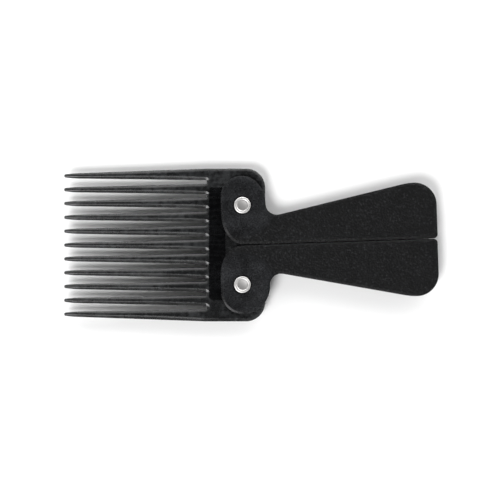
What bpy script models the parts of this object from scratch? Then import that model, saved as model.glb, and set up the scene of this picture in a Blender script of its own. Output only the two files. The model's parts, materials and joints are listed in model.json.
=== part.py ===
"""A folding afro comb: a toothed head between two channel handles that turn on rivets.

The comb lies flat and open, teeth towards -X and handles towards +X, in metres with +Z up.
The origin is the middle of its footprint, on the surface that it lies on. Both handles are
turned a little to the same side about their rivets, as loosely folded-out handles are.
"""

from math import atan2, cos, pi, radians, sin, tan

import bmesh
import bpy

MM = 0.001

# Heights, from the middle plane of the comb
WALL = 1.8 * MM
CHANNEL_GAP = 4.6 * MM
HANDLE_THICKNESS = CHANNEL_GAP + 2 * WALL
PLATE_THICKNESS = 4.0 * MM
TOOTH_TIP_THICKNESS = 2.0 * MM

# The head and its teeth
HEAD_HALF_WIDTH = 38.2 * MM
HEAD_BACK_X = 7.2 * MM
HEAD_CORNER_RADIUS = 9.5 * MM
TOOTH_ROOT_X = -22.85 * MM
TOOTH_LENGTH = 70.65 * MM
TOOTH_COUNT = 11
ROOT_PITCH = 7.0 * MM
TIP_PITCH = 6.93 * MM
TOOTH_ROOT_WIDTH = 5.0 * MM
TOOTH_SHOULDER_WIDTH = 2.7 * MM
TOOTH_POINT_LENGTH = 7.0 * MM
TOOTH_POINT_RADIUS = 0.6 * MM
BAND_X = (-21.1 * MM, -12.3 * MM)
BAND_MIDDLE_Y = 0.7 * MM
BAND_HALF_LENGTH = 28.4 * MM
BAND_CORNER_RADIUS = 1.6 * MM
BAND_DEPTH = 0.5 * MM
HEAD_EDGE_ROUNDING = 0.45 * MM

# The rivets
PIVOT_X = -4.2 * MM
PIVOT_Y = 19.78 * MM
SHANK_RADIUS = 2.0 * MM
RIVET_HOLE_RADIUS = 2.3 * MM
RIVET_HEAD_RADIUS = 4.15 * MM
RIVET_HEAD_HEIGHT = 0.75 * MM
RIVET_SEAT_GAP = 0.15 * MM
RIVET_DISH_RADIUS = 2.65 * MM
RIVET_DISH_DEPTH = 0.3 * MM
RIVET_SIDES = 32

# The handles, from their rivet, with X along the handle and Y away from the other one
SEAM_DISTANCE = 19.62 * MM
GRIP_MIDDLE_X = 47.0 * MM
GRIP_MIDDLE_HEIGHT = 0.88 * MM
GRIP_TAPER = radians(11.85)
END_CREST_RADIUS = 28.0 * MM
END_OUTER_RADIUS = 11.0 * MM
END_INNER_RADIUS = 2.0 * MM
LOBE_BACK = 10.65 * MM
LOBE_INNER_CENTRE = 4.5 * MM
LOBE_INNER_REACH = 19.5 * MM
LOBE_OUTER_CENTRE = 4.5 * MM
LOBE_OUTER_REACH = 14.7 * MM
NECK_FILLET_RADIUS = 5.6 * MM
SPINE = 0.9 * MM
SPINE_START = 13.0 * MM
END_WALL = 1.5 * MM
END_WALL_STOP = radians(45)
HANDLE_EDGE_ROUNDING = 0.7 * MM
HANDLE_TURN = radians(1.94)

# How far the lobe and the grip reach from the rivet differs between the two handles.
SIDES = {
    "right": {"sign": 1, "shoulder": 11.6 * MM, "reach": 96.85 * MM},
    "left": {"sign": -1, "shoulder": 13.8 * MM, "reach": 98.05 * MM},
}

MIDDLE_Z = HANDLE_THICKNESS / 2 + RIVET_SEAT_GAP + RIVET_HEAD_HEIGHT
ARC_STEP = radians(12)
FINE_ARC_STEP = radians(30)
BEVEL_FROM_ANGLE = radians(60)
SMOOTH_BELOW_ANGLE = radians(35)
FLAT = radians(0.2)
WELD = 1e-6


def clear_scene():
    for thing in list(bpy.data.objects):
        bpy.data.objects.remove(thing, do_unlink=True)


def new_collection(name):
    collection = bpy.data.collections.new(name)
    bpy.context.scene.collection.children.link(collection)
    return collection


def new_material(name, colour, roughness, metallic=0.0):
    material = bpy.data.materials.new(name)
    material.use_nodes = True
    shader = material.node_tree.nodes["Principled BSDF"]
    shader.inputs["Base Color"].default_value = (*colour, 1.0)
    shader.inputs["Roughness"].default_value = roughness
    shader.inputs["Metallic"].default_value = metallic
    return material


def arc(centre, radii, start, end, step=ARC_STEP):
    """Points along an arc, or part of an ellipse where the two radii differ, ends included."""
    count = max(1, round(abs(end - start) / step))
    angles = [start + (end - start) * i / count for i in range(count + 1)]
    return [(centre[0] + radii[0] * cos(a), centre[1] + radii[1] * sin(a)) for a in angles]


def prism(name, outline, thickness, collection):
    """A flat outline with filled faces, centred on its own middle plane, as one welded mesh."""
    curve = bpy.data.curves.new(name, "CURVE")
    curve.dimensions = "2D"
    curve.fill_mode = "BOTH"
    curve.extrude = thickness / 2
    spline = curve.splines.new("POLY")
    spline.points.add(len(outline) - 1)
    for point, (x, y) in zip(spline.points, outline):
        point.co = (x, y, 0.0, 1.0)
    spline.use_cyclic_u = True
    guide = bpy.data.objects.new(name + "_outline", curve)
    collection.objects.link(guide)
    graph = bpy.context.evaluated_depsgraph_get()
    mesh = bpy.data.meshes.new_from_object(guide.evaluated_get(graph))
    mesh.name = name
    bpy.data.objects.remove(guide, do_unlink=True)
    shape = bmesh.new()
    shape.from_mesh(mesh)
    bmesh.ops.remove_doubles(shape, verts=shape.verts, dist=WELD)
    bmesh.ops.recalc_face_normals(shape, faces=shape.faces)
    bmesh.ops.dissolve_limit(shape, angle_limit=FLAT, verts=shape.verts, edges=shape.edges)
    shape.to_mesh(mesh)
    shape.free()
    solid = bpy.data.objects.new(name, mesh)
    collection.objects.link(solid)
    return solid


def hide_cutter(cutter):
    cutter.display_type = "WIRE"
    cutter.hide_render = True


def cut(solid, cutter):
    """Takes the cutter's shape out of the solid, and keeps the cutter placed with it."""
    hide_cutter(cutter)
    cutter.parent = solid
    boolean = solid.modifiers.new("Cut " + cutter.name, "BOOLEAN")
    boolean.operation = "DIFFERENCE"
    boolean.solver = "EXACT"
    boolean.object = cutter


def round_edges(solid, width):
    bevel = solid.modifiers.new("Rounded edges", "BEVEL")
    bevel.width = width
    bevel.segments = 2
    bevel.limit_method = "ANGLE"
    bevel.angle_limit = BEVEL_FROM_ANGLE
    bevel.use_clamp_overlap = False


def finish(solid, material):
    solid.data.materials.clear()
    solid.data.materials.append(material)
    solid.data.shade_smooth()
    solid.data.set_sharp_from_angle(angle=SMOOTH_BELOW_ANGLE)


def rivet_hole(name, x, y, cutters):
    """A round cutter that leaves running clearance round a rivet's shank."""
    bpy.ops.mesh.primitive_cylinder_add(
        vertices=RIVET_SIDES, radius=RIVET_HOLE_RADIUS, depth=3 * HANDLE_THICKNESS, location=(x, y, 0)
    )
    cutter = bpy.context.object
    cutter.name = name
    for collection in list(cutter.users_collection):
        collection.objects.unlink(cutter)
    cutters.objects.link(cutter)
    return cutter


def tooth_outline(root_sides, tip_y):
    """One tooth from its lower root side round its point to its upper root side.

    The point's arc meets two straight flanks, and these meet the long sides of the tooth.
    """
    tip_x = TOOTH_ROOT_X - TOOTH_LENGTH
    point_centre_x = tip_x + TOOTH_POINT_RADIUS
    flank_x = tip_x + TOOTH_POINT_LENGTH
    half_flank = TOOTH_SHOULDER_WIDTH / 2
    flank_angle = atan2(half_flank - TOOTH_POINT_RADIUS, flank_x - point_centre_x)
    centre = (point_centre_x, tip_y)
    radii = (TOOTH_POINT_RADIUS, TOOTH_POINT_RADIUS)
    lower = [(TOOTH_ROOT_X, root_sides[0]), (flank_x, tip_y - half_flank)]
    point = arc(centre, radii, 1.5 * pi - flank_angle, pi / 2 + flank_angle, FINE_ARC_STEP)
    upper = [(flank_x, tip_y + half_flank), (TOOTH_ROOT_X, root_sides[1])]
    return lower + point + upper


def head_outline():
    """The plate and all its teeth, from the lowest tooth up and back round the rivet side.

    The outermost teeth are wider at their roots, where they carry on the plate's own sides.
    """
    outline = []
    gullet_radius = (ROOT_PITCH - TOOTH_ROOT_WIDTH) / 2
    gullet_radii = (gullet_radius, gullet_radius)
    for i in range(TOOTH_COUNT):
        from_middle = i - (TOOTH_COUNT - 1) / 2
        root_y = from_middle * ROOT_PITCH
        root_low = -HEAD_HALF_WIDTH if i == 0 else root_y - TOOTH_ROOT_WIDTH / 2
        root_high = HEAD_HALF_WIDTH if i == TOOTH_COUNT - 1 else root_y + TOOTH_ROOT_WIDTH / 2
        outline += tooth_outline((root_low, root_high), from_middle * TIP_PITCH)
        if i < TOOTH_COUNT - 1:
            gullet = (TOOTH_ROOT_X, (from_middle + 0.5) * ROOT_PITCH)
            outline += arc(gullet, gullet_radii, -pi / 2, pi / 2, FINE_ARC_STEP)[1:-1]
    corner_x = HEAD_BACK_X - HEAD_CORNER_RADIUS
    corner_y = HEAD_HALF_WIDTH - HEAD_CORNER_RADIUS
    corner_radii = (HEAD_CORNER_RADIUS, HEAD_CORNER_RADIUS)
    outline += arc((corner_x, corner_y), corner_radii, pi / 2, 0)
    outline += arc((corner_x, -corner_y), corner_radii, 0, -pi / 2)
    return outline


def thin_teeth(solid):
    """Tapers the thickness of the teeth evenly from their roots to their points."""
    shape = bmesh.new()
    shape.from_mesh(solid.data)
    everything = shape.verts[:] + shape.edges[:] + shape.faces[:]
    bmesh.ops.bisect_plane(
        shape, geom=everything, dist=WELD, plane_co=(TOOTH_ROOT_X, 0, 0), plane_no=(1, 0, 0)
    )
    for vertex in shape.verts:
        along = min(1.0, max(0.0, (TOOTH_ROOT_X - vertex.co.x) / TOOTH_LENGTH))
        thickness = PLATE_THICKNESS + along * (TOOTH_TIP_THICKNESS - PLATE_THICKNESS)
        vertex.co.z *= thickness / PLATE_THICKNESS
    shape.to_mesh(solid.data)
    shape.free()


def band_cutter(cutters):
    """The shallow band across the head's upper face, a rectangle with round corners."""
    low_x = BAND_X[0] + BAND_CORNER_RADIUS
    high_x = BAND_X[1] - BAND_CORNER_RADIUS
    high_y = BAND_HALF_LENGTH - BAND_CORNER_RADIUS
    radii = (BAND_CORNER_RADIUS, BAND_CORNER_RADIUS)
    outline = arc((high_x, -high_y), radii, -pi / 2, 0, FINE_ARC_STEP)
    outline += arc((high_x, high_y), radii, 0, pi / 2, FINE_ARC_STEP)
    outline += arc((low_x, high_y), radii, pi / 2, pi, FINE_ARC_STEP)
    outline += arc((low_x, -high_y), radii, pi, 1.5 * pi, FINE_ARC_STEP)
    cutter = prism("head_band", outline, 2 * BAND_DEPTH, cutters)
    cutter.location = (0, BAND_MIDDLE_Y, PLATE_THICKNESS / 2)
    return cutter


def build_head(parts, cutters, material):
    head = prism("comb_head", head_outline(), PLATE_THICKNESS, parts)
    thin_teeth(head)
    head.location.z = MIDDLE_Z
    round_edges(head, HEAD_EDGE_ROUNDING)
    cut(head, band_cutter(cutters))
    for side, values in SIDES.items():
        cut(head, rivet_hole(f"head_{side}_rivet_hole", PIVOT_X, values["sign"] * PIVOT_Y, cutters))
    finish(head, material)


def taper_height(x):
    """Height of the grip's tapered outer edge over the rivet's line, at x along the handle."""
    return GRIP_MIDDLE_HEIGHT + (x - GRIP_MIDDLE_X) * tan(GRIP_TAPER)


def end_corner(reach):
    """Middle of the end's outer corner, whose arc runs on into the crest and the taper."""
    corner_x = reach - END_OUTER_RADIUS
    touch_height = taper_height(corner_x - END_CREST_RADIUS * sin(GRIP_TAPER))
    crest_height = touch_height + END_CREST_RADIUS * (1 - cos(GRIP_TAPER))
    return corner_x, crest_height - END_OUTER_RADIUS


def handle_outline(shoulder, reach):
    """A handle wall seen from above: seam, end, tapered grip, neck and the lobe at the rivet."""
    inner_end = (reach - END_INNER_RADIUS, END_INNER_RADIUS - SEAM_DISTANCE)
    corner_x, corner_y = end_corner(reach)
    crest = (corner_x, corner_y + END_OUTER_RADIUS - END_CREST_RADIUS)
    crest_radii = (END_CREST_RADIUS, END_CREST_RADIUS)
    fillet_x = shoulder + NECK_FILLET_RADIUS
    neck_y = taper_height(fillet_x) + NECK_FILLET_RADIUS / cos(GRIP_TAPER)
    fillet_radii = (NECK_FILLET_RADIUS, NECK_FILLET_RADIUS)
    shoulder_radii = (shoulder, LOBE_OUTER_REACH - neck_y)
    outer_reach = LOBE_OUTER_REACH - LOBE_OUTER_CENTRE
    inner_reach = LOBE_INNER_REACH - LOBE_INNER_CENTRE
    outline = [(LOBE_BACK, -SEAM_DISTANCE)]
    outline += arc(inner_end, (END_INNER_RADIUS, END_INNER_RADIUS), -pi / 2, 0)
    outline += arc((corner_x, corner_y), (END_OUTER_RADIUS, END_OUTER_RADIUS), 0, pi / 2)
    outline += arc(crest, crest_radii, pi / 2, pi / 2 + GRIP_TAPER, GRIP_TAPER / 2)[1:]
    outline += arc((fillet_x, neck_y), fillet_radii, 1.5 * pi + GRIP_TAPER, pi)
    outline += arc((0, neck_y), shoulder_radii, 0, pi / 2)[1:]
    outline += arc((0, LOBE_OUTER_CENTRE), (LOBE_BACK, outer_reach), pi / 2, pi)[1:]
    outline += arc((0, -LOBE_INNER_CENTRE), (LOBE_BACK, inner_reach), pi, 1.5 * pi)
    return outline


def channel_outline(reach):
    """The space between the two walls: all of it but the spine and the wall round the end."""
    beyond = 2 * LOBE_BACK
    cavity_end = end_corner(reach)
    cavity_radius = END_OUTER_RADIUS - END_WALL
    end_arc = arc(cavity_end, (cavity_radius, cavity_radius), 0, END_WALL_STOP)
    open_length = END_OUTER_RADIUS + END_WALL
    mouth = (
        cavity_end[0] + open_length * cos(END_WALL_STOP),
        cavity_end[1] + open_length * sin(END_WALL_STOP),
    )
    return [
        (-beyond, -SEAM_DISTANCE - SPINE),
        (SPINE_START, -SEAM_DISTANCE - SPINE),
        (SPINE_START, -SEAM_DISTANCE + SPINE),
        (reach - END_WALL, -SEAM_DISTANCE + SPINE),
        *end_arc,
        mouth,
        (mouth[0], beyond),
        (-beyond, beyond),
    ]


def build_handle(side, values, parts, cutters, material):
    """One handle, with its origin on its rivet's axis."""
    sign = values["sign"]
    wall = handle_outline(values["shoulder"], values["reach"])
    outline = [(x, sign * y) for x, y in wall]
    channel = [(x, sign * y) for x, y in channel_outline(values["reach"])]
    handle = prism(f"{side}_handle", outline, HANDLE_THICKNESS, parts)
    handle.location = (PIVOT_X, sign * PIVOT_Y, MIDDLE_Z)
    handle.rotation_euler.z = HANDLE_TURN
    round_edges(handle, HANDLE_EDGE_ROUNDING)
    cut(handle, prism(f"{side}_channel", channel, CHANNEL_GAP, cutters))
    cut(handle, rivet_hole(f"{side}_handle_rivet_hole", 0, 0, cutters))
    finish(handle, material)


def rivet_profile():
    """Half a rivet's section: dished upper head, shank and flat lower head, top to bottom."""
    seat = HANDLE_THICKNESS / 2 + RIVET_SEAT_GAP
    top = seat + RIVET_HEAD_HEIGHT
    dish = top - RIVET_DISH_DEPTH
    lip_radius = (RIVET_HEAD_RADIUS - RIVET_DISH_RADIUS) / 2
    lip = (RIVET_DISH_RADIUS + lip_radius, top - RIVET_DISH_DEPTH)
    edge = RIVET_HEAD_HEIGHT / 3
    profile = [(0, dish)]
    profile += arc(lip, (lip_radius, RIVET_DISH_DEPTH), pi, 0, FINE_ARC_STEP)
    profile += [
        (RIVET_HEAD_RADIUS, seat + edge),
        (RIVET_HEAD_RADIUS - edge, seat),
        (SHANK_RADIUS, seat),
        (SHANK_RADIUS, -seat),
        (RIVET_HEAD_RADIUS - edge, -seat),
        (RIVET_HEAD_RADIUS, -seat - edge),
        (RIVET_HEAD_RADIUS, -top + edge),
        (RIVET_HEAD_RADIUS - edge, -top),
        (0, -top),
    ]
    return profile


def build_rivet(side, sign, parts, material):
    profile = rivet_profile()
    mesh = bpy.data.meshes.new(f"{side}_rivet")
    shape = bmesh.new()
    vertices = [shape.verts.new((radius, 0, z)) for radius, z in profile]
    for upper, lower in zip(vertices, vertices[1:]):
        shape.edges.new((upper, lower))
    shape.to_mesh(mesh)
    shape.free()
    rivet = bpy.data.objects.new(f"{side}_rivet", mesh)
    parts.objects.link(rivet)
    rivet.location = (PIVOT_X, sign * PIVOT_Y, MIDDLE_Z)
    screw = rivet.modifiers.new("Turned", "SCREW")
    screw.steps = RIVET_SIDES
    screw.render_steps = RIVET_SIDES
    screw.use_merge_vertices = True
    screw.merge_threshold = WELD
    mesh.materials.append(material)


def main():
    clear_scene()
    parts = new_collection("Folding afro comb")
    cutters = new_collection("Cutters")
    head_plastic = new_material("Black head plastic", (0.028, 0.029, 0.031), 0.3)
    handle_plastic = new_material("Black grained handle plastic", (0.022, 0.023, 0.025), 0.5)
    build_head(parts, cutters, head_plastic)
    for side, values in SIDES.items():
        build_handle(side, values, parts, cutters, handle_plastic.copy())
        rivet_metal = new_material(f"Nickel of the {side} rivet", (0.78, 0.77, 0.75), 0.22, 1.0)
        build_rivet(side, values["sign"], parts, rivet_metal)


main()
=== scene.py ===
"""Looks of the folding afro comb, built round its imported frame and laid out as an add-on.

The comb lies flat and open, teeth towards -X and handles towards +X, in metres with +Z up.
Each piece has its own operator, and its sizes and colours are in a property group.
"""

import json
from math import cos, pi, radians, sin, tan

import bmesh
import bpy
from bpy.props import FloatProperty, FloatVectorProperty, IntProperty, PointerProperty
from mathutils import Matrix, Vector


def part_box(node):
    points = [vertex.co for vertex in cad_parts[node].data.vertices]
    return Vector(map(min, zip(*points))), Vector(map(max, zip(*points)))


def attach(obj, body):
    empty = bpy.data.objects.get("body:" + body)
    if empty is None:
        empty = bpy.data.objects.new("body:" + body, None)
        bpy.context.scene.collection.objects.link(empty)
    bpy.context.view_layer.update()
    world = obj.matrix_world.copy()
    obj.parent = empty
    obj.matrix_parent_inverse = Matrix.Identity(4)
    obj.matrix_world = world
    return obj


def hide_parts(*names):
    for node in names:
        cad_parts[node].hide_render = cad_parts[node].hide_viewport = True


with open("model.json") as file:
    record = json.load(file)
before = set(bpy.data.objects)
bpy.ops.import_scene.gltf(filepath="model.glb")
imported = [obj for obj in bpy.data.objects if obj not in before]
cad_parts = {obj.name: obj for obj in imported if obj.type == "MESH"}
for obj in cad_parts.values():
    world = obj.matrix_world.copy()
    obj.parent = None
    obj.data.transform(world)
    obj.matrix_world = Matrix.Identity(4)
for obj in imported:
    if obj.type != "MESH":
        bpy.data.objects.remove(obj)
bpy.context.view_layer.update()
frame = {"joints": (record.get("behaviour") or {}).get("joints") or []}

bl_info = {
    "name": "Folding Afro Comb",
    "version": (1, 0, 0),
    "blender": (4, 5, 0),
    "location": "3D View > Sidebar > Afro Comb",
    "description": "Moulds the comb's head and handles, turns its rivets and lays it on a floor",
    "category": "Object",
}

MM = 0.001
# Vertices nearer to each other than this are welded.
WELD = 1e-6
# Edges flatter than the first angle are shaded smooth. Carved edges sharper than the second
# one are broken.
SMOOTH_BELOW = radians(38)
BREAK_ABOVE = radians(55)
# Steps of wide arcs, of small corners and of the round gullets between the teeth.
ARC_STEP = radians(5)
CORNER_STEP = radians(10)
GULLET_STEP = radians(18)
ROUND_STEPS = 96
# Segments across the rounded rims, before they are flattened into slopes.
HEAD_RIM_SEGMENTS = 6
HANDLE_RIM_SEGMENTS = 5
# Powers of the curves of the sloping rims and of the tooth points.
RIM_CURVE = 1.4
POINT_CURVE = 1.5
# Part of its thickness that a tooth loses over its point, besides its even taper.
POINT_THINNING = 0.35
# Rings along a tooth's body and point, and the angles in degrees of those on its round end.
BODY_RINGS = 14
POINT_RINGS = 7
END_LIFTS = (25, 45, 62, 76, 86)
# The stubs' edges that are longer than this get extra vertices, so that the teeth can be ridged.
LONG_EDGE = 0.8 * MM
LONG_EDGE_CUTS = 5
# The band's corners, how far its sides slope, and how exactly its floor's height is found again.
BAND_CORNER = 1.6 * MM
BAND_CORNER_SEGMENTS = 6
BAND_SLOPE = 0.35 * MM
BAND_TOLERANCE = 0.05 * MM
# Rounding of a rivet's small edges, and the steps of its roll and of those edges.
RIVET_EDGE = 0.25 * MM
ROLL_STEP = radians(15)
EDGE_STEP = radians(30)
# The key light comes from this direction, seen from above.
KEY_TOWARDS = (-0.6, -0.8)
# How far out a wall starts to show and is at its brightest.
WALL_START, WALL_FULL = 0.15, 0.85
# How high up the room is dark, and how low down it is bright.
DARK_ABOVE, BRIGHT_BELOW = 0.82, 0.38
# The camera looks straight down over this place.
CAMERA_X, CAMERA_Y = -0.375 * MM, -2.5 * MM
SENSOR_WIDTH = 36.0

HEAD_LOW, HEAD_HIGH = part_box("comb_head")
HANDLE_LOW, HANDLE_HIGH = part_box("right_handle")
RIVET_LOW, RIVET_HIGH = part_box("right_rivet")
MIDDLE_Z = (HEAD_LOW.z + HEAD_HIGH.z) / 2
PLATE_THICKNESS = HEAD_HIGH.z - HEAD_LOW.z
HANDLE_THICKNESS = HANDLE_HIGH.z - HANDLE_LOW.z
PIVOTS = {joint["child"]: Vector(joint["pos_m"]) for joint in frame["joints"]}
SIDES = ("right", "left")


def length(name, description, millimetres):
    """A size that the sidebar shows as a length."""
    return FloatProperty(
        name=name,
        description=description,
        default=millimetres * MM,
        min=0.0,
        precision=5,
        subtype="DISTANCE",
        unit="LENGTH",
    )


def angle(name, description, degrees):
    """An angle that the sidebar shows in degrees."""
    return FloatProperty(
        name=name,
        description=description,
        default=radians(degrees),
        subtype="ANGLE",
        unit="ROTATION",
    )


def share(name, description, default, highest=1.0):
    """A plain number from nothing to a highest value."""
    return FloatProperty(
        name=name, description=description, default=default, min=0.0, max=highest
    )


def count(name, description, default, fewest, most):
    """A whole number."""
    return IntProperty(name=name, description=description, default=default, min=fewest, max=most)


def tint(name, description, colour):
    """A linear colour."""
    return FloatVectorProperty(
        name=name,
        description=description,
        default=colour,
        min=0.0,
        max=1.0,
        subtype="COLOR",
        size=3,
    )


class HeadSettings(bpy.types.PropertyGroup):
    """Sizes and colours of the toothed head."""

    corner_radius: length("Corner radius", "Rounding of the head's two back corners", 9.5)
    root_x: length("Tooth roots", "Distance of the tooth roots from the middle", 22.85)
    stub: length("Stub", "Part of a tooth that keeps the plate's section", 1.0)
    tooth_count: count("Teeth", "Number of teeth", 11, 2, 40)
    root_pitch: length("Pitch at the roots", "Distance between teeth at their roots", 7.0)
    tip_pitch: length("Pitch at the tips", "Distance between teeth at their tips", 6.93)
    root_width: length("Width at the root", "Width of a tooth where it leaves the plate", 5.0)
    shoulder_width: length("Shoulder width", "Width of a tooth where its point starts", 2.7)
    point_length: length("Point", "Length of a tooth's tapering point", 7.0)
    point_radius: length("Point radius", "Rounding of a tooth's very end", 0.85)
    tip_thickness: length("Tip thickness", "Thickness of a tooth at the end", 2.0)
    ridge_start: length("Ridge start", "How far from its root a tooth is fully ridged", 27.0)
    ridge_fall: share("Ridge fall", "How far a tooth's ridge falls to its sides", 0.65)
    ridge_curve: share("Ridge curve", "How flat the top of a tooth's ridge is", 1.8, 4.0)
    under_fall: share("Underside fall", "How far a tooth's underside curves up to its sides", 0.2)
    edge_width: length("Edge width", "Width of the plate's sloping edges", 1.8)
    edge_drop: length("Edge drop", "How far the plate's edges slope down", 0.75)
    under_drop: length("Underside edge", "How far the underside's edges slope up", 0.3)
    band_front: length("Band front", "Distance of the band's front edge from the middle", 21.1)
    band_back: length("Band back", "Distance of the band's back edge from the middle", 12.3)
    band_middle: length("Band middle", "Distance of the band's middle from the head's, +Y", 0.7)
    band_half: length("Band half length", "Half the length of the band across the head", 28.4)
    band_depth: length("Band depth", "How deep the bare band is moulded", 0.5)
    colour: tint("Colour", "Black of the head's plastic", (0.0125, 0.013, 0.0135))
    # The band's black is darker than the head's: painted shade of the recessed band.
    recess_shade_colour: tint("Band shade colour", "Black of the band, darkened as painted shade of its recess", (0.0022, 0.0023, 0.0026))


class HandleSettings(bpy.types.PropertyGroup):
    """Sizes and colours of the two handles. X runs along a handle, Y away from the other one."""

    seam: length("Seam", "Distance of the seam from the rivet", 19.62)
    right_reach: length("Right reach", "Distance of the right handle's end from the rivet", 96.85)
    left_reach: length("Left reach", "Distance of the left handle's end from the rivet", 98.05)
    grip_x: length("Grip middle", "Distance of the grip's middle from the rivet", 47.0)
    grip_y: length("Grip height", "Height of the outer edge at the grip's middle", 0.88)
    taper: angle("Taper", "Slope of the grip's outer edge", 11.85)
    crest: length("Crest radius", "Rounding between the taper and the end's outer corner", 28.0)
    end_outer: length("Outer end radius", "Rounding of the end's outer corner", 11.0)
    end_inner: length("Inner end radius", "Rounding of the end's seam corner", 2.0)
    lobe_back: length("Lobe back", "How far the lobe reaches behind the rivet", 10.65)
    lobe_centre: length("Lobe centre", "How far the lobe's round ends are from the rivet", 4.5)
    lobe_inner: length("Lobe inner reach", "How far the lobe reaches towards the seam", 19.5)
    lobe_outer: length("Lobe outer reach", "How far the lobe reaches outwards", 14.7)
    right_shoulder: length("Right shoulder", "How far the right lobe reaches forward", 11.6)
    left_shoulder: length("Left shoulder", "How far the left lobe reaches forward", 13.8)
    fillet: length("Neck fillet", "Rounding between lobe and grip", 5.6)
    edge_width: length("Edge width", "Width of the handle's rounded edges", 1.5)
    edge_drop: length("Edge drop", "How far the handle's edges curve down", 0.5)
    channel: length("Channel", "Height of the space between the walls", 4.6)
    spine: length("Spine", "Thickness of the spine along the seam", 0.9)
    spine_start: length("Spine start", "Where the spine starts, from the rivet", 13.0)
    end_wall: length("End wall", "Thickness of the wall round the end", 1.5)
    hole: length("Rivet hole", "Radius of the hole for the rivet", 2.3)
    seat: length("Rivet seat", "Radius of the shallow seat round the rivet's head", 4.65)
    seat_depth: length("Seat depth", "Depth of the seat round the rivet's head", 0.5)
    lip: length("Lips", "Rounding of the edges of the channel and holes", 0.12)
    turn: angle("Turn", "How far both handles are turned at rest", 1.94)
    colour: tint("Colour", "Black of the grained plastic", (0.0062, 0.0064, 0.0069))
    grain_size: length("Grain", "Size of the pebbles of the grain", 1.1)
    smooth_radius: length("Smooth lobe", "Distance from the rivet where the grain starts", 14.5)


class RivetSettings(bpy.types.PropertyGroup):
    """Sizes and colour of the rivets."""

    shank: length("Shank", "Radius of the shank", 2.0)
    dish: length("Dish", "Radius of the dish in the upper head", 2.65)
    dish_depth: length("Dish depth", "Depth of the dish in the upper head", 0.3)
    head_height: length("Head height", "Height of each head", 0.75)
    steps: count("Steps", "Facets round a rivet", 72, 12, 256)
    colour: tint("Colour", "Colour of the nickel", (0.63, 0.62, 0.61))


class StageSettings(bpy.types.PropertyGroup):
    """The floor, the key light, the room's brightness and the camera."""

    floor_radius: length("Floor radius", "Radius of the round floor", 4000.0)
    floor_colour: tint("Floor", "Colour of the pale floor", (0.93, 0.93, 0.93))
    camera_height: length("Camera height", "Height of the camera over the floor", 701.0)
    lens: share("Lens", "Focal length in millimetres", 100.0, 1000.0)
    key_strength: share("Key light", "Strength of the light that casts the shadows", 2.75, 100.0)
    key_spread: angle("Key size", "How wide the key light looks from the comb", 32.0)
    key_height: angle("Key height", "Height of the key light over the horizon", 50.0)
    ceiling: share("Ceiling", "Brightness straight above the comb", 0.02, 10.0)
    walls: share("Walls", "Brightness of the room all round, low down", 0.13, 10.0)
    far_wall: share("Far wall", "Added brightness beyond the comb, +Y", 3.8, 10.0)
    near_wall: share("Near wall", "Added brightness on the viewer's side, -Y", 0.5, 10.0)
    tooth_wall: share("Tooth wall", "Added brightness at the teeth's side, -X", 0.3, 10.0)
    handle_wall: share("Handle wall", "Added brightness at the handles' side, +X", 1.5, 10.0)


def draw_arc(shape, centre, radii, start, turn, step=ARC_STEP):
    """Spins one vertex into an arc, stretched where the radii differ; returns both its ends."""
    middle = Vector((*centre, 0))
    first = shape.verts.new(middle + radii[0] * Vector((cos(start), sin(start), 0)))
    before = set(shape.verts) - {first}
    steps = max(1, round(abs(turn) / step))
    made = bmesh.ops.spin(
        shape, geom=[first], cent=middle, axis=(0, 0, 1), angle=turn, steps=steps, use_merge=False
    )
    last = [part for part in made["geom_last"] if isinstance(part, bmesh.types.BMVert)][0]
    arc = [vertex for vertex in shape.verts if vertex not in before]
    stretch = (1, radii[1] / radii[0], 1)
    bmesh.ops.scale(shape, vec=stretch, space=Matrix.Translation(-middle), verts=arc)
    return first, last


def draw_line(shape, strokes, closed=True):
    """Joins points (x, y) and arcs (centre, radii, start, turn) end to end."""
    ends = []
    for stroke in strokes:
        if len(stroke) == 2:
            point = shape.verts.new((*stroke, 0))
            ends.append((point, point))
        else:
            ends.append(draw_arc(shape, *stroke))
    following = ends[1:] + ends[:1] if closed else ends[1:]
    for (_, here), (there, _) in zip(ends, following):
        shape.edges.new((here, there))
    bmesh.ops.remove_doubles(shape, verts=shape.verts, dist=WELD)


def slab(strokes, thickness):
    """A filled outline given a thickness, centred on its own middle plane."""
    shape = bmesh.new()
    draw_line(shape, strokes)
    bmesh.ops.edgeloop_fill(shape, edges=shape.edges[:])
    bmesh.ops.translate(shape, vec=(0, 0, -thickness / 2), verts=shape.verts)
    raised = bmesh.ops.extrude_face_region(shape, geom=shape.faces[:], use_keep_orig=True)
    top = [part for part in raised["geom"] if isinstance(part, bmesh.types.BMVert)]
    bmesh.ops.translate(shape, vec=(0, 0, thickness), verts=top)
    bmesh.ops.recalc_face_normals(shape, faces=shape.faces)
    return shape


def rim_edges(shape, skip=None):
    """The edges round a slab's two flat faces, but for those that skip picks."""
    flat = [edge for edge in shape.edges if abs(edge.verts[0].co.z - edge.verts[1].co.z) < WELD]
    return [edge for edge in flat if not (skip and skip(edge))]


def round_edges(shape, edges, width, segments):
    """Rounds edges over a width to both their sides."""
    bmesh.ops.bevel(
        shape,
        geom=edges,
        offset=width,
        offset_type="OFFSET",
        segments=segments,
        profile=0.5,
        affect="EDGES",
        clamp_overlap=False,
        material=-1,
    )


def sloping_rim(shape, thickness, width, drop, under_drop):
    """Flattens the rounded rims of a slab's two faces, so that its sides stay upright."""
    for vertex in shape.verts:
        sunk = thickness / 2 - abs(vertex.co.z)
        if sunk > WELD:
            level = max(0.0, 1 - sunk / width)
            outward = (1 - level * level) ** 0.5
            fall = outward**RIM_CURVE
            if vertex.co.z > 0:
                vertex.co.z = thickness / 2 - drop * fall
            else:
                vertex.co.z = under_drop * fall - thickness / 2


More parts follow.
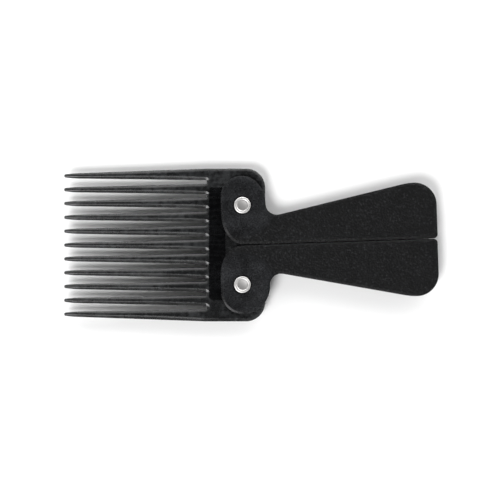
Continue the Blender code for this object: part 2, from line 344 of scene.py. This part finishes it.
def disc(radius, height, x=0.0, y=0.0, z=0.0):
    """A closed round plug, for cutting a hole or a seat."""
    shape = bmesh.new()
    bmesh.ops.create_cone(
        shape,
        cap_ends=True,
        cap_tris=False,
        segments=ROUND_STEPS,
        radius1=radius,
        radius2=radius,
        depth=height,
        matrix=Matrix.Translation((x, y, z)),
    )
    return shape


def new_object(name, shape):
    """Puts a shape into the scene as an object at the origin."""
    mesh = bpy.data.meshes.new(name)
    shape.to_mesh(mesh)
    shape.free()
    piece = bpy.data.objects.new(name, mesh)
    bpy.context.scene.collection.objects.link(piece)
    return piece


def carve(piece, cutters):
    """Takes each cutter's shape out of the piece for good."""
    tools = [new_object(f"{piece.name}_cutter", cutter) for cutter in cutters]
    for tool in tools:
        boolean = piece.modifiers.new("Carve", "BOOLEAN")
        boolean.operation = "DIFFERENCE"
        boolean.solver = "EXACT"
        boolean.object = tool
    graph = bpy.context.evaluated_depsgraph_get()
    carved = bpy.data.meshes.new_from_object(piece.evaluated_get(graph))
    piece.modifiers.clear()
    blank = piece.data
    piece.data = carved
    carved.name = piece.name
    bpy.data.meshes.remove(blank)
    for tool in tools:
        mesh = tool.data
        bpy.data.objects.remove(tool, do_unlink=True)
        bpy.data.meshes.remove(mesh)


def place_mesh(piece, turn, place, mirrored=False):
    """Mirrors, turns and moves the mesh itself, and leaves its object at the origin."""
    shape = bmesh.new()
    shape.from_mesh(piece.data)
    if mirrored:
        bmesh.ops.scale(shape, vec=(1, -1, 1), verts=shape.verts)
    rotation = Matrix.Rotation(turn, 3, "Z")
    bmesh.ops.rotate(shape, cent=(0, 0, 0), matrix=rotation, verts=shape.verts)
    bmesh.ops.translate(shape, vec=place, verts=shape.verts)
    bmesh.ops.recalc_face_normals(shape, faces=shape.faces)
    shape.to_mesh(piece.data)
    shape.free()


def smooth(piece):
    """Smooth shading that keeps flat faces flat."""
    piece.data.shade_smooth()
    piece.data.set_sharp_from_angle(angle=SMOOTH_BELOW)
    weighted = piece.modifiers.new("Weighted normals", "WEIGHTED_NORMAL")
    weighted.mode = "FACE_AREA"
    weighted.keep_sharp = True


def check_closed(piece):
    """Raises an error where a mesh isn't one closed shell."""
    shape = bmesh.new()
    shape.from_mesh(piece.data)
    loose = sum(1 for edge in shape.edges if len(edge.link_faces) != 2)
    shape.free()
    if loose:
        raise RuntimeError(f"{piece.name} has {loose} edges that aren't closed")


class Recipe:
    """A material being put together from nodes."""

    def __init__(self, name):
        self.material = bpy.data.materials.new(name)
        self.material.use_nodes = True
        self.tree = self.material.node_tree
        self.shader = self.tree.nodes["Principled BSDF"]
        self.place = self.add("ShaderNodeTexCoord").outputs["Object"]

    def add(self, kind, **settings):
        """Adds a node with its own settings."""
        node = self.tree.nodes.new(kind)
        for name, value in settings.items():
            setattr(node, name, value)
        return node

    def feed(self, socket, source):
        """Sets a socket to a plain value, or links it to another one."""
        if isinstance(source, bpy.types.NodeSocket):
            self.tree.links.new(source, socket)
        else:
            socket.default_value = source

    def noise(self, size, detail=2.0, roughness=0.5, stretch=None):
        """Noise with features of about that size in metres, from 0 to 1."""
        node = self.add("ShaderNodeTexNoise")
        node.inputs["Scale"].default_value = 1 / size
        node.inputs["Detail"].default_value = detail
        node.inputs["Roughness"].default_value = roughness
        self.feed(node.inputs["Vector"], self.stretched(stretch) if stretch else self.place)
        return node.outputs["Fac"]

    def pebbles(self, size):
        """Rounded cells of about that size in metres: 0 in the middle of each, higher between."""
        node = self.add("ShaderNodeTexVoronoi", feature="SMOOTH_F1")
        node.inputs["Scale"].default_value = 1 / size
        node.inputs["Smoothness"].default_value = 0.35
        self.feed(node.inputs["Vector"], self.place)
        return node.outputs["Distance"]

    def stretched(self, scale):
        """The place on the piece, scaled along each axis."""
        node = self.add("ShaderNodeMapping")
        node.inputs["Scale"].default_value = scale
        self.feed(node.inputs["Vector"], self.place)
        return node.outputs["Vector"]

    def distance_to(self, middle):
        """Distance of the place on the piece from a fixed one, in metres."""
        node = self.add("ShaderNodeVectorMath", operation="DISTANCE")
        self.feed(node.inputs[0], self.place)
        node.inputs[1].default_value = middle
        return node.outputs["Value"]

    def ramp(self, source, low, high, from_low=0.0, from_high=1.0):
        """Maps a value's range to another range, clamped."""
        node = self.add("ShaderNodeMapRange", interpolation_type="SMOOTHSTEP")
        values = {"From Min": from_low, "From Max": from_high, "To Min": low, "To Max": high}
        for name, value in values.items():
            node.inputs[name].default_value = value
        self.feed(node.inputs["Value"], source)
        return node.outputs["Result"]

    def math(self, operation, first, second):
        """Works out one value from two."""
        node = self.add("ShaderNodeMath", operation=operation)
        self.feed(node.inputs[0], first)
        self.feed(node.inputs[1], second)
        return node.outputs["Value"]

    def mix_colours(self, factor, first, second):
        """Goes from the first colour to the second one."""
        node = self.add("ShaderNodeMix", data_type="RGBA")
        self.feed(node.inputs["Factor"], factor)
        self.feed(node.inputs["A"], (*first, 1.0))
        self.feed(node.inputs["B"], (*second, 1.0))
        return node.outputs["Result"]

    def bump(self, height, distance, strength, below=None):
        """A normal for small relief, laid over another one where that is given."""
        node = self.add("ShaderNodeBump")
        node.inputs["Distance"].default_value = distance
        node.inputs["Strength"].default_value = strength
        self.feed(node.inputs["Height"], height)
        if below is not None:
            self.feed(node.inputs["Normal"], below)
        return node.outputs["Normal"]

    def set(self, name, source):
        """Sets one of the shader's own sockets."""
        self.feed(self.shader.inputs[name], source)


def scaled(colour, factor):
    """A colour made darker or lighter."""
    return tuple(min(1.0, part * factor) for part in colour)


def polished_plastic(name, colour, roughness, shine):
    """Glossy injection-moulded black, with orange peel, faint flow streaks and fine wear."""
    recipe = Recipe(name)
    peel = recipe.noise(2.2 * MM)
    fine = recipe.noise(0.35 * MM, detail=3.0)
    streaks = recipe.noise(1.4 * MM, detail=3.0, stretch=(0.08, 1.0, 1.0))
    cloud = recipe.noise(12 * MM, detail=3.0)
    mottle = recipe.math("MULTIPLY", recipe.math("MULTIPLY", cloud, peel), 2.0)
    marks = recipe.ramp(mottle, 0.0, 1.0, from_low=0.3, from_high=0.8)
    dark, pale = scaled(colour, 0.6), scaled(colour, 2.0)
    recipe.set("Base Color", recipe.mix_colours(marks, dark, pale))
    wear = recipe.math("MULTIPLY", streaks, fine)
    clean, worn = roughness - 0.05, roughness + 0.14
    recipe.set("Roughness", recipe.ramp(wear, clean, worn, from_low=0.12, from_high=0.42))
    ripple = recipe.bump(peel, distance=0.03 * MM, strength=0.6)
    relief = recipe.bump(fine, distance=0.006 * MM, strength=0.7, below=ripple)
    recipe.set("Normal", relief)
    recipe.set("Specular IOR Level", shine)
    return recipe.material


def grained_plastic(name, colour, grain_size, rivet, smooth_radius):
    """Black plastic with a moulded pebble grain and pale specks that are painted glints of the
    grain, smoother round the rivet.
    """
    recipe = Recipe(name)
    least_grain = 0.18
    full_radius = smooth_radius + 4 * MM
    grip = recipe.ramp(recipe.distance_to(rivet), least_grain, 1.0, smooth_radius, full_radius)
    pebbles = recipe.pebbles(grain_size)
    pits = recipe.noise(grain_size * 0.55, detail=3.0, roughness=0.6)
    cloud = recipe.noise(9 * MM, detail=4.0)
    grain = recipe.math("SUBTRACT", pits, pebbles)
    height = recipe.math("MULTIPLY", grain, grip)
    clouded = recipe.math("MULTIPLY", cloud, pits)
    shade = recipe.ramp(clouded, 0.12, 0.8, from_low=0.1, from_high=0.45)
    masked = recipe.math("MULTIPLY", shade, recipe.ramp(grip, 1.0, 0.1))
    # Pale specks in the base colour are painted glints of the grain's facets.
    glint_noise = recipe.noise(grain_size, detail=3.0)
    painted_glints = recipe.ramp(glint_noise, 0.0, 0.5, from_low=0.52, from_high=0.74)
    tone = recipe.math("ADD", masked, painted_glints)
    dark, pale = scaled(colour, 0.25), scaled(colour, 4.8)
    recipe.set("Base Color", recipe.mix_colours(tone, dark, pale))
    pitted = recipe.ramp(pits, 0.38, 0.54, from_low=0.3, from_high=0.7)
    matt = recipe.ramp(grip, 0.66, 1.0, from_low=least_grain)
    recipe.set("Roughness", recipe.math("MULTIPLY", pitted, matt))
    recipe.set("Normal", recipe.bump(height, distance=0.25 * MM, strength=0.8))
    recipe.set("Specular IOR Level", 0.155)
    return recipe.material


def turned_nickel(name, colour, dish_middle, dish):
    """Hazy plated metal: a rivet's rolled rim is a little duller than its dish."""
    recipe = Recipe(name)
    away = recipe.distance_to(dish_middle)
    haze = recipe.noise(1.6 * MM)
    recipe.set("Metallic", 1.0)
    recipe.set("Base Color", recipe.mix_colours(haze, scaled(colour, 0.94), colour))
    in_dish, on_rim = 0.41, 0.5
    recipe.set("Roughness", recipe.ramp(away, in_dish, on_rim, dish * 0.9, dish * 1.15))
    return recipe.material


def floor_finish(name, colour):
    """Matt white paper with a very faint tooth."""
    recipe = Recipe(name)
    tooth = recipe.noise(0.6 * MM, detail=3.0)
    recipe.set("Base Color", recipe.mix_colours(tooth, scaled(colour, 0.995), colour))
    recipe.set("Roughness", recipe.ramp(tooth, 0.85, 0.95))
    recipe.set("Specular IOR Level", 0.0)
    return recipe.material


def head_strokes(sizes):
    """The plate with a stub for each tooth, from the lowest tooth up and round the back."""
    root = -sizes.root_x
    end = root - sizes.stub
    gullet = (sizes.root_pitch - sizes.root_width) / 2
    corner = sizes.corner_radius
    strokes = []
    for index in range(sizes.tooth_count):
        low, high = tooth_sides(sizes, index, 0)
        end_low, end_high = tooth_sides(sizes, index, sizes.stub)
        strokes += [(root, low), (end, end_low), (end, end_high), (root, high)]
        if index < sizes.tooth_count - 1:
            middle = (root, high + gullet)
            strokes.append((middle, (gullet, gullet), -pi / 2, pi, GULLET_STEP))
    middle_x = HEAD_HIGH.x - corner
    strokes.append(((middle_x, HEAD_HIGH.y - corner), (corner, corner), pi / 2, -pi / 2))
    strokes.append(((middle_x, HEAD_LOW.y + corner), (corner, corner), 0, -pi / 2))
    return strokes


def tooth_body(sizes):
    """Length of a tooth from its root to where its point starts."""
    return -HEAD_LOW.x - sizes.root_x - sizes.point_length


def tooth_sides(sizes, index, along):
    """Both sides of a tooth's body at a distance from its root.

    The outermost teeth are wider at their roots, where they carry on the plate's own sides.
    """
    from_middle = index - (sizes.tooth_count - 1) / 2
    low = from_middle * sizes.root_pitch - sizes.root_width / 2
    high = low + sizes.root_width
    if index == 0:
        low = HEAD_LOW.y
    if index == sizes.tooth_count - 1:
        high = HEAD_HIGH.y
    tip_low = from_middle * sizes.tip_pitch - sizes.shoulder_width / 2
    tip_high = tip_low + sizes.shoulder_width
    share_along = min(1.0, along / tooth_body(sizes))
    return low + (tip_low - low) * share_along, high + (tip_high - high) * share_along


def tooth_rings(sizes):
    """Each ring of a tooth: distance from the root, share of the full width, half thickness."""
    body = tooth_body(sizes)
    whole = body + sizes.point_length
    radius = sizes.point_radius
    end_share = radius / (sizes.shoulder_width / 2)
    rings = []
    for i in range(1, BODY_RINGS + 1):
        rings.append((sizes.stub + (body - sizes.stub) * i / BODY_RINGS, 1.0, 1.0))
    for i in range(1, POINT_RINGS + 1):
        part = i / POINT_RINGS
        width_share = 1 + (end_share - 1) * part**POINT_CURVE
        rings.append((body + (sizes.point_length - radius) * part, width_share, 1.0))
    for lift in END_LIFTS:
        closing = cos(radians(lift))
        rings.append((whole - radius + radius * sin(radians(lift)), end_share * closing, closing))
    made = []
    for along, width_share, closing in rings:
        thickness = PLATE_THICKNESS + (sizes.tip_thickness - PLATE_THICKNESS) * along / whole
        narrowing = 1.0 - POINT_THINNING * max(0.0, (along - body) / sizes.point_length)
        made.append((along, width_share, thickness / 2 * narrowing * closing))
    return made


def section_height(sizes, across, ridge, half_stub, upper):
    """Height of a tooth's section at a place across it, against that of its stub.

    The stub has a flat top and sloping rims, like the plate. The ridge is how far the section
    has turned into a rounded ridge over upright sides, from 0 to 1.
    """
    drop = sizes.edge_drop if upper else sizes.under_drop
    fall = sizes.ridge_fall if upper else sizes.under_fall
    flat_half = half_stub - sizes.edge_width
    over_rim = max(0.0, abs(across) * half_stub - flat_half) / sizes.edge_width
    stub_height = 1 - drop / (PLATE_THICKNESS / 2) * over_rim**RIM_CURVE
    ridge_height = 1 - fall * abs(across) ** sizes.ridge_curve
    return 1 - ridge + ridge * ridge_height / stub_height


def grow_tooth(shape, face, index, sizes):
    """Draws one tooth out of its stub, ring by ring, from a flat section to a ridged point."""
    low, high = tooth_sides(sizes, index, sizes.stub)
    centre_y, half_y = (low + high) / 2, (high - low) / 2
    half_stub, half_z, ridge = half_y, PLATE_THICKNESS / 2, 0.0
    for along, width_share, new_half_z in tooth_rings(sizes):
        face = bmesh.ops.extrude_discrete_faces(shape, faces=[face])["faces"][0]
        low, high = tooth_sides(sizes, index, along)
        new_centre, new_half_y = (low + high) / 2, (high - low) / 2 * width_share
        new_ridge = min(1.0, along / sizes.ridge_start)
        for vertex in face.verts:
            across = (vertex.co.y - centre_y) / half_y
            upper = vertex.co.z > 0
            before = half_z * section_height(sizes, across, ridge, half_stub, upper)
            after = new_half_z * section_height(sizes, across, new_ridge, half_stub, upper)
            vertex.co.x = -sizes.root_x - along
            vertex.co.y = new_centre + new_half_y * across
            vertex.co.z *= after / before
        centre_y, half_y, half_z, ridge = new_centre, new_half_y, new_half_z, new_ridge


def head_blank(sizes):
    """The plate with rounded edges, and every tooth drawn out of it."""
    shape = slab(head_strokes(sizes), PLATE_THICKNESS)
    end_x = -sizes.root_x - sizes.stub

    def is_stub_end(edge):
        return all(abs(vertex.co.x - end_x) < WELD for vertex in edge.verts)

    rims = rim_edges(shape, is_stub_end)
    round_edges(shape, rims, sizes.edge_width, HEAD_RIM_SEGMENTS)
    sloping_rim(shape, PLATE_THICKNESS, sizes.edge_width, sizes.edge_drop, sizes.under_drop)
    ends = [
        face
        for face in shape.faces
        if all(abs(vertex.co.x - end_x) < WELD for vertex in face.verts)
    ]
    ends.sort(key=lambda face: face.calc_center_median().y)
    for face in ends:
        long_edges = [edge for edge in face.edges if edge.calc_length() > LONG_EDGE]
        bmesh.ops.bisect_edges(shape, edges=long_edges, cuts=LONG_EDGE_CUTS)
    for index, face in enumerate(ends):
        grow_tooth(shape, face, index, sizes)
    return shape


def band_cutter(sizes):
    """The shallow band's shape, wider at the top than at its floor."""
    low_x, high_x = -sizes.band_front, -sizes.band_back
    half = sizes.band_half
    strokes = [(low_x, -half), (high_x, -half), (high_x, half), (low_x, half)]
    cutter = slab(strokes, 2 * sizes.band_depth)
    flat = set(rim_edges(cutter))
    upright = [edge for edge in cutter.edges if edge not in flat]
    round_edges(cutter, upright, BAND_CORNER, BAND_CORNER_SEGMENTS)
    for vertex in cutter.verts:
        if vertex.co.z < 0:
            vertex.co.x += BAND_SLOPE * (-1 if vertex.co.x > (low_x + high_x) / 2 else 1)
            vertex.co.y += BAND_SLOPE * (-1 if vertex.co.y > 0 else 1)
    place = (0, sizes.band_middle, PLATE_THICKNESS / 2)
    bmesh.ops.translate(cutter, vec=place, verts=cutter.verts)
    return cutter


def paint_band(piece, sizes):
    """Gives the floor of the carved band the head's second material, whose darker black is
    painted shade of the recess.
    """
    floor_z = HEAD_HIGH.z - sizes.band_depth
    for face in piece.data.polygons:
        inside = -sizes.band_front < face.center.x < -sizes.band_back
        on_floor = abs(face.center.z - floor_z) < BAND_TOLERANCE
        if inside and on_floor and face.normal.z > 0.9:
            face.material_index = 1


def taper_height(sizes, x):
    """Height of the grip's tapered outer edge over the rivet's line, at x along the handle."""
    return sizes.grip_y + (x - sizes.grip_x) * tan(sizes.taper)


def end_corner(sizes, reach):
    """Middle of the end's outer corner, whose arc runs on into the crest and the taper."""
    corner_x = reach - sizes.end_outer
    touch_height = taper_height(sizes, corner_x - sizes.crest * sin(sizes.taper))
    return corner_x, touch_height + sizes.crest * (1 - cos(sizes.taper)) - sizes.end_outer


def handle_strokes(sizes, shoulder, reach):
    """A handle seen from above with its rivet at the origin: seam, end, taper, neck and lobe."""
    seam, slope = sizes.seam, sizes.taper
    inner, outer, crest, fillet = sizes.end_inner, sizes.end_outer, sizes.crest, sizes.fillet
    corner_x, corner_y = end_corner(sizes, reach)
    fillet_x = shoulder + fillet
    neck_y = taper_height(sizes, fillet_x) + fillet / cos(slope)
    back, centre = sizes.lobe_back, sizes.lobe_centre
    return [
        (back, -seam),
        ((reach - inner, inner - seam), (inner, inner), -pi / 2, pi / 2, CORNER_STEP),
        ((corner_x, corner_y), (outer, outer), 0, pi / 2),
        ((corner_x, corner_y + outer - crest), (crest, crest), pi / 2, slope),
        ((fillet_x, neck_y), (fillet, fillet), 1.5 * pi + slope, -pi / 2 - slope),
        ((0, neck_y), (shoulder, sizes.lobe_outer - neck_y), 0, pi / 2),
        ((0, centre), (back, sizes.lobe_outer - centre), pi / 2, pi / 2),
        ((0, -centre), (back, sizes.lobe_inner - centre), pi, pi / 2),
    ]


def channel_strokes(sizes, reach):
    """The space between the walls: everything but the spine and the wall round the end."""
    beyond = 2 * sizes.lobe_back
    seam, outer = sizes.seam, sizes.end_outer
    middle = end_corner(sizes, reach)
    inside = outer - sizes.end_wall
    mouth = (outer + sizes.end_wall) * cos(radians(45))
    return [
        (-beyond, -seam - sizes.spine),
        (sizes.spine_start, -seam - sizes.spine),
        (sizes.spine_start, -seam + sizes.spine),
        (reach - sizes.end_wall, -seam + sizes.spine),
        (middle, (inside, inside), 0, radians(45)),
        (middle[0] + mouth, middle[1] + mouth),
        (middle[0] + mouth, beyond),
        (-beyond, beyond),
    ]


def soften_lips(piece, width):
    """Breaks the sharp edges that carving left."""
    bevel = piece.modifiers.new("Broken edges", "BEVEL")
    bevel.width = width
    bevel.segments = 2
    bevel.limit_method = "ANGLE"
    bevel.angle_limit = BREAK_ABOVE
    bevel.use_clamp_overlap = False
    bevel.miter_outer = "MITER_ARC"


class AFRO_COMB_OT_stage(bpy.types.Operator):
    """Lays the pale floor and sets up the key light, the room and the camera"""

    bl_idname = "afro_comb.lay_stage"
    bl_label = "Lay the stage"

    def execute(self, context):
        sizes = context.scene.comb_stage
        shape = bmesh.new()
        bmesh.ops.create_circle(
            shape, cap_ends=True, segments=ROUND_STEPS, radius=sizes.floor_radius
        )
        floor = new_object("floor", shape)
        floor.data.materials.append(floor_finish("White floor", sizes.floor_colour))
        self.add_key(sizes)
        context.scene.world = self.room(sizes)
        context.scene.view_settings.view_transform = "Standard"
        self.add_camera(context, sizes)
        return {"FINISHED"}

    def add_key(self, sizes):
        """The soft light from beyond the teeth on the viewer's side."""
        light = bpy.data.lights.new("key_light", "SUN")
        light.energy = sizes.key_strength
        light.angle = sizes.key_spread
        lamp = bpy.data.objects.new("key_light", light)
        level = cos(sizes.key_height)
        aside, near = KEY_TOWARDS
        towards = Vector((aside * level, near * level, sin(sizes.key_height)))
        lamp.location = towards
        lamp.rotation_euler = towards.to_track_quat("Z", "Y").to_euler()
        bpy.context.scene.collection.objects.link(lamp)

    def room(self, sizes):
        """A room with a dark ceiling and pale walls, brightest beyond the comb."""
        world = bpy.data.worlds.new("Studio")
        world.use_nodes = True
        tree = world.node_tree
        split = tree.nodes.new("ShaderNodeSeparateXYZ")
        tree.links.new(tree.nodes.new("ShaderNodeTexCoord").outputs["Generated"], split.inputs[0])

        def ramp(axis, start, end):
            node = tree.nodes.new("ShaderNodeMapRange")
            node.interpolation_type = "SMOOTHSTEP"
            node.inputs["From Min"].default_value = start
            node.inputs["From Max"].default_value = end
            tree.links.new(split.outputs[axis], node.inputs["Value"])
            return node.outputs["Result"]

        def blend(operation, first, second):
            node = tree.nodes.new("ShaderNodeMath")
            node.operation = operation
            for socket, source in zip(node.inputs, (first, second)):
                if isinstance(source, bpy.types.NodeSocket):
                    tree.links.new(source, socket)
                else:
                    socket.default_value = source
            return node.outputs["Value"]

        total = sizes.walls
        for axis, sign, strength in (
            ("Y", 1, sizes.far_wall),
            ("Y", -1, sizes.near_wall),
            ("X", -1, sizes.tooth_wall),
            ("X", 1, sizes.handle_wall),
        ):
            wall = ramp(axis, sign * WALL_START, sign * WALL_FULL)
            total = blend("ADD", blend("MULTIPLY", wall, strength), total)
        low_down = ramp("Z", DARK_ABOVE, BRIGHT_BELOW)
        strength = blend("ADD", blend("MULTIPLY", total, low_down), sizes.ceiling)
        tree.links.new(strength, tree.nodes["Background"].inputs["Strength"])
        tree.nodes["Background"].inputs["Color"].default_value = (1, 1, 1, 1)
        return world

    def add_camera(self, context, sizes):
        """The camera straight above the comb."""
        view = bpy.data.cameras.new("camera")
        view.lens = sizes.lens
        view.sensor_width = SENSOR_WIDTH
        camera = bpy.data.objects.new("camera", view)
        camera.location = (CAMERA_X, CAMERA_Y, sizes.camera_height)
        context.scene.collection.objects.link(camera)
        context.scene.camera = camera


class AFRO_COMB_OT_head(bpy.types.Operator):
    """Moulds the plate with its bare band and draws the teeth out of it"""

    bl_idname = "afro_comb.mould_head"
    bl_label = "Mould the head"

    def execute(self, context):
        sizes = context.scene.comb_head
        handles = context.scene.comb_handles
        piece = new_object("head_moulding", head_blank(sizes))
        check_closed(piece)
        cutters = [band_cutter(sizes)]
        for pivot in PIVOTS.values():
            cutters.append(disc(handles.hole, 3 * PLATE_THICKNESS, pivot.x, pivot.y))
        carve(piece, cutters)
        place_mesh(piece, 0.0, (0, 0, MIDDLE_Z))
        check_closed(piece)
        for name, colour, roughness, shine in (
            ("Black head plastic", sizes.colour, 0.19, 0.36),
            # The band's material is darker than the head's: its black is painted shade of the
            # recess.
            ("Black band with painted recess shade", sizes.recess_shade_colour, 0.2, 0.2),
        ):
            piece.data.materials.append(polished_plastic(name, colour, roughness, shine))
        paint_band(piece, sizes)
        smooth(piece)
        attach(piece, "head")
        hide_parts("comb_head")
        return {"FINISHED"}


class AFRO_COMB_OT_handles(bpy.types.Operator):
    """Moulds the two channel handles"""

    bl_idname = "afro_comb.mould_handles"
    bl_label = "Mould the handles"

    def execute(self, context):
        sizes = context.scene.comb_handles
        for side in SIDES:
            body = f"{side}_handle"
            pivot = PIVOTS[body]
            shoulder = getattr(sizes, f"{side}_shoulder")
            reach = getattr(sizes, f"{side}_reach")
            shape = slab(handle_strokes(sizes, shoulder, reach), HANDLE_THICKNESS)
            width, drop = sizes.edge_width, sizes.edge_drop
            round_edges(shape, rim_edges(shape), width, HANDLE_RIM_SEGMENTS)
            sloping_rim(shape, HANDLE_THICKNESS, width, drop, drop)
            piece = new_object(f"{side}_grip", shape)
            check_closed(piece)
            seat_height = HANDLE_THICKNESS / 2
            cutters = [
                slab(channel_strokes(sizes, reach), sizes.channel),
                disc(sizes.hole, 2 * HANDLE_THICKNESS),
                disc(sizes.seat, 2 * sizes.seat_depth, z=seat_height),
                disc(sizes.seat, 2 * sizes.seat_depth, z=-seat_height),
            ]
            carve(piece, cutters)
            place_mesh(piece, sizes.turn, pivot, mirrored=side == "left")
            check_closed(piece)
            name = f"Grained black plastic of the {side} handle"
            finish = grained_plastic(
                name, sizes.colour, sizes.grain_size, pivot, sizes.smooth_radius
            )
            piece.data.materials.append(finish)
            soften_lips(piece, sizes.lip)
            smooth(piece)
            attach(piece, body)
            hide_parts(body)
        return {"FINISHED"}


class AFRO_COMB_OT_rivets(bpy.types.Operator):
    """Turns the two bright rivets"""

    bl_idname = "afro_comb.turn_rivets"
    bl_label = "Turn the rivets"

    def execute(self, context):
        sizes = context.scene.comb_rivets
        for side in SIDES:
            pivot = PIVOTS[f"{side}_handle"]
            shape = bmesh.new()
            draw_line(shape, self.profile(sizes), closed=False)
            upright = Matrix.Rotation(pi / 2, 3, "X")
            bmesh.ops.rotate(shape, cent=(0, 0, 0), matrix=upright, verts=shape.verts)
            bmesh.ops.translate(shape, vec=pivot, verts=shape.verts)
            bmesh.ops.spin(
                shape,
                geom=shape.verts[:] + shape.edges[:],
                cent=pivot,
                axis=(0, 0, 1),
                angle=2 * pi,
                steps=sizes.steps,
                use_merge=True,
            )
            bmesh.ops.remove_doubles(shape, verts=shape.verts, dist=WELD)
            bmesh.ops.recalc_face_normals(shape, faces=shape.faces)
            piece = new_object(f"{side}_rivet_turned", shape)
            check_closed(piece)
            name = f"Nickel of the {side} rivet"
            dish_middle = (pivot.x, pivot.y, RIVET_HIGH.z)
            finish = turned_nickel(name, sizes.colour, dish_middle, sizes.dish)
            piece.data.materials.append(finish)
            smooth(piece)
            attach(piece, "head")
            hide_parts(f"{side}_rivet")
        return {"FINISHED"}

    def profile(self, sizes):
        """Half a rivet's section, X outwards and Y up, from the dish down to the flat foot."""
        radius = (RIVET_HIGH.x - RIVET_LOW.x) / 2
        top = (RIVET_HIGH.z - RIVET_LOW.z) / 2
        seat = top - sizes.head_height
        dish, depth = sizes.dish, sizes.dish_depth
        curve = (dish * dish + depth * depth * 0.25) / depth
        swing = dish / curve
        roll = (radius - dish) / 2
        over = pi * 0.8
        edge = RIVET_EDGE
        return [
            ((0, top - depth + curve), (curve, curve), 1.5 * pi, swing, swing / 8),
            ((dish + roll, seat + edge), (roll, top - seat - edge), over, -over, ROLL_STEP),
            ((radius - edge, seat + edge), (edge, edge), 0, -pi / 2, EDGE_STEP),
            (sizes.shank, seat),
            (sizes.shank, -seat),
            ((radius - edge, -seat - edge), (edge, edge), pi / 2, -pi / 2, EDGE_STEP),
            ((radius - edge, -top + edge), (edge, edge), 0, -pi / 2, EDGE_STEP),
            (dish, -top),
            (dish - edge, edge - top),
            (0, edge - top),
        ]


class AFRO_COMB_PT_sidebar(bpy.types.Panel):
    """Lists the sizes, colours and operators of the comb"""

    bl_idname = "AFRO_COMB_PT_sidebar"
    bl_label = "Folding Afro Comb"
    bl_space_type = "VIEW_3D"
    bl_region_type = "UI"
    bl_category = "Afro Comb"

    def draw(self, context):
        """Shows a box for each group: its operator and its settings."""
        for group, operator in GROUPS:
            box = self.layout.box()
            settings = getattr(context.scene, group)
            box.operator(operator.bl_idname)
            for name in settings.__annotations__:
                box.prop(settings, name)


GROUPS = (
    ("comb_stage", AFRO_COMB_OT_stage),
    ("comb_head", AFRO_COMB_OT_head),
    ("comb_handles", AFRO_COMB_OT_handles),
    ("comb_rivets", AFRO_COMB_OT_rivets),
)
SETTINGS = {
    "comb_stage": StageSettings,
    "comb_head": HeadSettings,
    "comb_handles": HandleSettings,
    "comb_rivets": RivetSettings,
}


def register():
    """Makes the settings, the operators and the panel known to Blender."""
    for name, settings in SETTINGS.items():
        bpy.utils.register_class(settings)
        setattr(bpy.types.Scene, name, PointerProperty(type=settings))
    for _, operator in GROUPS:
        bpy.utils.register_class(operator)
    bpy.utils.register_class(AFRO_COMB_PT_sidebar)


def unregister():
    """Takes everything back that register made known."""
    bpy.utils.unregister_class(AFRO_COMB_PT_sidebar)
    for _, operator in reversed(GROUPS):
        bpy.utils.unregister_class(operator)
    for name, settings in SETTINGS.items():
        delattr(bpy.types.Scene, name)
        bpy.utils.unregister_class(settings)


def main():
    """Builds the stage and the comb in order."""
    register()
    bpy.ops.afro_comb.lay_stage()
    bpy.ops.afro_comb.mould_head()
    bpy.ops.afro_comb.mould_handles()
    bpy.ops.afro_comb.turn_rivets()


if __name__ == "__main__":
    main()
